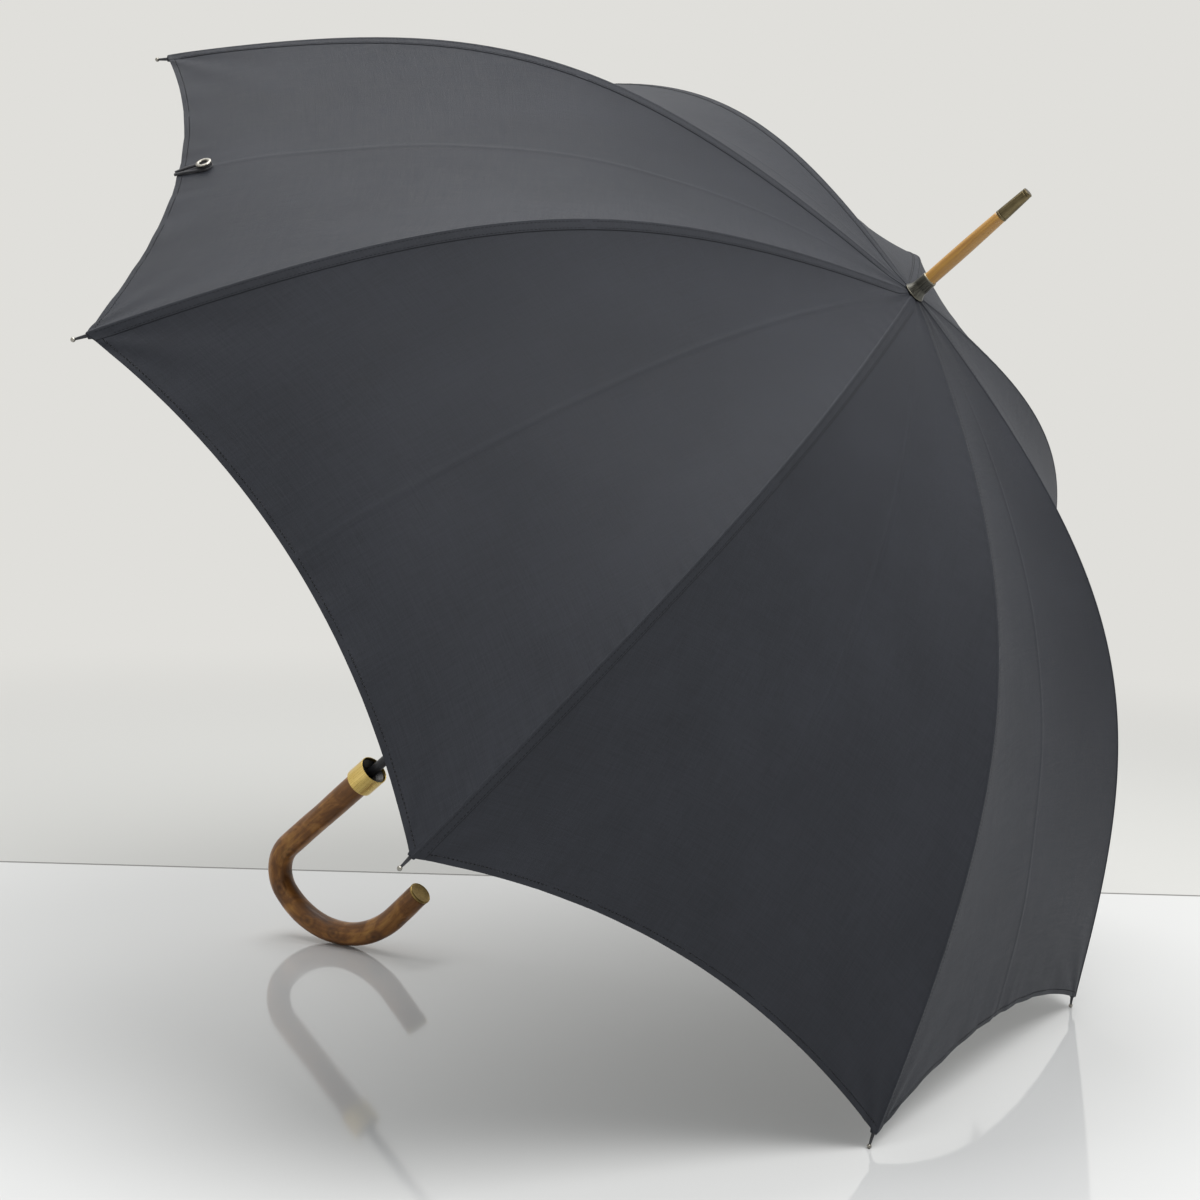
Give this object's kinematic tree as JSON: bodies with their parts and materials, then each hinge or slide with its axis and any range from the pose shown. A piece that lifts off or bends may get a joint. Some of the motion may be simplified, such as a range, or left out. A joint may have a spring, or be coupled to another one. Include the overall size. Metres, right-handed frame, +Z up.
{
  "type": "stick umbrella",
  "caption": "Open stick umbrella with a folding ribbed canopy, a crook handle, a sliding runner with spring catches and a button-and-loop closure, leaning on the floor.",
  "frame": {"origin": "centre of the bounding box's bottom, on the floor that the umbrella leans on", "axes": "+Z up, +Y along the canopy's width, +X to the side that the canopy's lowest tips rest on; the shaft lies in the XZ plane and rises towards +X"},
  "size_m": [0.6956, 0.942, 0.7276],
  "materials": {
    "cloth": "plain-woven charcoal cloth with a soft sheen",
    "black_steel": "black enamel, satin",
    "bright_steel": "bright nickel-plated steel",
    "bronze": "antiqued dark bronze, satin",
    "brass": "satin gold-coloured brass",
    "spike_wood": "honey-coloured, lacquered",
    "handle_wood": "brown bark-on wood with knots, lacquered",
    "black_plastic": "moulded, satin",
    "elastic": "braided black elastic cord"
  },
  "bodies": {
    "root": {"shaft": "black_steel", "notch": "black_plastic", "notch_wire": "bright_steel", "stop_pin": "bright_steel", "crown_cap": "bronze", "spike": "spike_wood", "ferrule": "bronze", "collar": "brass", "collar_liner": "black_plastic", "crook_handle": "handle_wood", "crook_end_disc": "brass"},
    "rib_1": {"rib_inner_1": "black_steel", "panel_1": "cloth"},
    "rib_2": {"rib_inner_2": "black_steel", "panel_2": "cloth"},
    "rib_3": {"rib_inner_3": "black_steel", "panel_3": "cloth"},
    "rib_4": {"rib_inner_4": "black_steel", "panel_4": "cloth"},
    "rib_5": {"rib_inner_5": "black_steel", "panel_5": "cloth"},
    "rib_6": {"rib_inner_6": "black_steel", "panel_6": "cloth"},
    "rib_7": {"rib_inner_7": "black_steel", "panel_7": "cloth"},
    "rib_8": {"rib_inner_8": "black_steel", "panel_8": "cloth"},
    "rib_end_1": {"rib_outer_1": "black_steel", "rib_tip_1": "bright_steel"},
    "rib_end_2": {"rib_outer_2": "black_steel", "rib_tip_2": "bright_steel"},
    "rib_end_3": {"rib_outer_3": "black_steel", "rib_tip_3": "bright_steel"},
    "rib_end_4": {"rib_outer_4": "black_steel", "rib_tip_4": "bright_steel"},
    "rib_end_5": {"rib_outer_5": "black_steel", "rib_tip_5": "bright_steel"},
    "rib_end_6": {"rib_outer_6": "black_steel", "rib_tip_6": "bright_steel"},
    "rib_end_7": {"rib_outer_7": "black_steel", "rib_tip_7": "bright_steel"},
    "rib_end_8": {"rib_outer_8": "black_steel", "rib_tip_8": "bright_steel"},
    "stretcher_1": {"stretcher_1": "black_steel"},
    "stretcher_2": {"stretcher_2": "black_steel"},
    "stretcher_3": {"stretcher_3": "black_steel"},
    "stretcher_4": {"stretcher_4": "black_steel"},
    "stretcher_5": {"stretcher_5": "black_steel"},
    "stretcher_6": {"stretcher_6": "black_steel"},
    "stretcher_7": {"stretcher_7": "black_steel"},
    "stretcher_8": {"stretcher_8": "black_steel"},
    "runner": {"runner": "black_plastic", "runner_wire": "bright_steel"},
    "top_catch": {"top_catch": "bright_steel"},
    "bottom_catch": {"bottom_catch": "bright_steel"},
    "closure": {"closure_loop": "elastic", "closure_button": "black_plastic", "closure_ring": "bright_steel"}
  },
  "joints": [
    {"name": "rib_1_pivot", "type": "hinge", "parent": "root", "child": "rib_1", "pos_m": [0.21659, -0.00306, 0.55637], "axis": [0.2494, -0.9239, -0.2903], "range_deg": [0, 76.05], "deforming": ["panel_1"]},
    {"name": "rib_2_pivot", "type": "hinge", "parent": "root", "child": "rib_2", "pos_m": [0.21941, -0.00739, 0.55309], "axis": [0.6021, -0.3827, -0.7008], "range_deg": [0, 76.1], "deforming": ["panel_2"]},
    {"name": "rib_3_pivot", "type": "hinge", "parent": "root", "child": "rib_3", "pos_m": [0.2234, -0.00739, 0.54844], "axis": [0.6021, 0.3827, -0.7008], "range_deg": [0, 76.1], "deforming": ["panel_3"]},
    {"name": "rib_4_pivot", "type": "hinge", "parent": "root", "child": "rib_4", "pos_m": [0.22622, -0.00306, 0.54516], "axis": [0.2494, 0.9239, -0.2903], "range_deg": [0, 76.1], "deforming": ["panel_4"]},
    {"name": "rib_5_pivot", "type": "hinge", "parent": "root", "child": "rib_5", "pos_m": [0.22622, 0.00306, 0.54516], "axis": [-0.2494, 0.9239, 0.2903], "range_deg": [0, 76.1], "deforming": ["panel_5"]},
    {"name": "rib_6_pivot", "type": "hinge", "parent": "root", "child": "rib_6", "pos_m": [0.2234, 0.00739, 0.54844], "axis": [-0.6021, 0.3827, 0.7008], "range_deg": [0, 76.1], "deforming": ["panel_6"]},
    {"name": "rib_7_pivot", "type": "hinge", "parent": "root", "child": "rib_7", "pos_m": [0.21941, 0.00739, 0.55309], "axis": [-0.6021, -0.3827, 0.7008], "range_deg": [0, 76.1], "deforming": ["panel_7"]},
    {"name": "rib_8_pivot", "type": "hinge", "parent": "root", "child": "rib_8", "pos_m": [0.21659, 0.00306, 0.55637], "axis": [-0.2494, -0.9239, 0.2903], "range_deg": [0, 76.1], "deforming": ["panel_8"]},
    {"name": "rib_1_flex", "type": "hinge", "parent": "rib_1", "child": "rib_end_1", "pos_m": [0.00829, -0.10529, 0.70279], "axis": [0.2494, -0.9239, -0.2903], "range_deg": [-30.64, 0]},
    {"name": "rib_2_flex", "type": "hinge", "parent": "rib_2", "child": "rib_end_2", "pos_m": [0.10533, -0.25419, 0.58985], "axis": [0.6021, -0.3827, -0.7008], "range_deg": [-30.64, 0]},
    {"name": "rib_3_flex", "type": "hinge", "parent": "rib_3", "child": "rib_end_3", "pos_m": [0.24256, -0.25419, 0.43013], "axis": [0.6021, 0.3827, -0.7008], "range_deg": [-30.64, 0]},
    {"name": "rib_4_flex", "type": "hinge", "parent": "rib_4", "child": "rib_end_4", "pos_m": [0.33959, -0.10529, 0.31718], "axis": [0.2494, 0.9239, -0.2903], "range_deg": [-30.64, 0]},
    {"name": "rib_5_flex", "type": "hinge", "parent": "rib_5", "child": "rib_end_5", "pos_m": [0.33959, 0.10529, 0.31718], "axis": [-0.2494, 0.9239, 0.2903], "range_deg": [-30.64, 0]},
    {"name": "rib_6_flex", "type": "hinge", "parent": "rib_6", "child": "rib_end_6", "pos_m": [0.24256, 0.25419, 0.43013], "axis": [-0.6021, 0.3827, 0.7008], "range_deg": [-30.64, 0]},
    {"name": "rib_7_flex", "type": "hinge", "parent": "rib_7", "child": "rib_end_7", "pos_m": [0.10533, 0.25419, 0.58985], "axis": [-0.6021, -0.3827, 0.7008], "range_deg": [-30.64, 0]},
    {"name": "rib_8_flex", "type": "hinge", "parent": "rib_8", "child": "rib_end_8", "pos_m": [0.00829, 0.10529, 0.70279], "axis": [-0.2494, -0.9239, 0.2903], "range_deg": [-30.64, 0]},
    {"name": "stretcher_1_pivot", "type": "hinge", "parent": "rib_1", "child": "stretcher_1", "pos_m": [0.01427, -0.10214, 0.69791], "axis": [0.2494, -0.9239, -0.2903], "range_deg": [-152.2, 0]},
    {"name": "stretcher_2_pivot", "type": "hinge", "parent": "rib_2", "child": "stretcher_2", "pos_m": [0.10841, -0.24659, 0.58835], "axis": [0.6021, -0.3827, -0.7008], "range_deg": [-152.2, 0]},
    {"name": "stretcher_3_pivot", "type": "hinge", "parent": "rib_3", "child": "stretcher_3", "pos_m": [0.24154, -0.24659, 0.4334], "axis": [0.6021, 0.3827, -0.7008], "range_deg": [-152.2, 0]},
    {"name": "stretcher_4_pivot", "type": "hinge", "parent": "rib_4", "child": "stretcher_4", "pos_m": [0.33567, -0.10214, 0.32383], "axis": [0.2494, 0.9239, -0.2903], "range_deg": [-152.2, 0]},
    {"name": "stretcher_5_pivot", "type": "hinge", "parent": "rib_5", "child": "stretcher_5", "pos_m": [0.33567, 0.10214, 0.32383], "axis": [-0.2494, 0.9239, 0.2903], "range_deg": [-152.2, 0]},
    {"name": "stretcher_6_pivot", "type": "hinge", "parent": "rib_6", "child": "stretcher_6", "pos_m": [0.24154, 0.24659, 0.4334], "axis": [-0.6021, 0.3827, 0.7008], "range_deg": [-152.2, 0]},
    {"name": "stretcher_7_pivot", "type": "hinge", "parent": "rib_7", "child": "stretcher_7", "pos_m": [0.10841, 0.24659, 0.58835], "axis": [-0.6021, -0.3827, 0.7008], "range_deg": [-152.2, 0]},
    {"name": "stretcher_8_pivot", "type": "hinge", "parent": "rib_8", "child": "stretcher_8", "pos_m": [0.01427, 0.10214, 0.69791], "axis": [-0.2494, -0.9239, 0.2903], "range_deg": [-152.2, 0]},
    {"name": "runner_pivot", "type": "hinge", "parent": "stretcher_1", "child": "runner", "pos_m": [0.12372, -0.00306, 0.47658], "axis": [0.2494, -0.9239, -0.2903], "range_deg": [0, 76.1]},
    {"name": "top_catch_press", "type": "hinge", "parent": "root", "child": "top_catch", "pos_m": [0.09186, 0, 0.44217], "axis": [0, 1, 0], "range_deg": [0, 6], "stiffness_Nm_per_rad": 0.6},
    {"name": "bottom_catch_press", "type": "hinge", "parent": "root", "child": "bottom_catch", "pos_m": [-0.18153, 0, 0.20728], "axis": [0, -1, 0], "range_deg": [0, 6], "stiffness_Nm_per_rad": 0.6},
    {"name": "closure_ride", "type": "hinge", "parent": "root", "child": "closure", "pos_m": [0.36093, 0.05528, 0.59776], "axis": [0.4608, -0.7071, -0.5363], "range_deg": [0, 42.56]}
  ],
  "couplings": [
    {"joint": "rib_2_pivot", "follows": "rib_1_pivot", "ratio": 1},
    {"joint": "rib_3_pivot", "follows": "rib_1_pivot", "ratio": 1},
    {"joint": "rib_4_pivot", "follows": "rib_1_pivot", "ratio": 1},
    {"joint": "rib_5_pivot", "follows": "rib_1_pivot", "ratio": 1},
    {"joint": "rib_6_pivot", "follows": "rib_1_pivot", "ratio": 1},
    {"joint": "rib_7_pivot", "follows": "rib_1_pivot", "ratio": 1},
    {"joint": "rib_8_pivot", "follows": "rib_1_pivot", "ratio": 1},
    {"joint": "rib_1_flex", "follows": "rib_1_pivot", "ratio": -0.4023},
    {"joint": "rib_2_flex", "follows": "rib_1_pivot", "ratio": -0.4023},
    {"joint": "rib_3_flex", "follows": "rib_1_pivot", "ratio": -0.4023},
    {"joint": "rib_4_flex", "follows": "rib_1_pivot", "ratio": -0.4023},
    {"joint": "rib_5_flex", "follows": "rib_1_pivot", "ratio": -0.4023},
    {"joint": "rib_6_flex", "follows": "rib_1_pivot", "ratio": -0.4023},
    {"joint": "rib_7_flex", "follows": "rib_1_pivot", "ratio": -0.4023},
    {"joint": "rib_8_flex", "follows": "rib_1_pivot", "ratio": -0.4023},
    {"joint": "stretcher_1_pivot", "follows": "rib_1_pivot", "ratio": -2},
    {"joint": "stretcher_2_pivot", "follows": "rib_1_pivot", "ratio": -2},
    {"joint": "stretcher_3_pivot", "follows": "rib_1_pivot", "ratio": -2},
    {"joint": "stretcher_4_pivot", "follows": "rib_1_pivot", "ratio": -2},
    {"joint": "stretcher_5_pivot", "follows": "rib_1_pivot", "ratio": -2},
    {"joint": "stretcher_6_pivot", "follows": "rib_1_pivot", "ratio": -2},
    {"joint": "stretcher_7_pivot", "follows": "rib_1_pivot", "ratio": -2},
    {"joint": "stretcher_8_pivot", "follows": "rib_1_pivot", "ratio": -2},
    {"joint": "runner_pivot", "follows": "rib_1_pivot", "ratio": 1},
    {"joint": "closure_ride", "follows": "rib_1_pivot", "ratio": 0.55895}
  ]
}
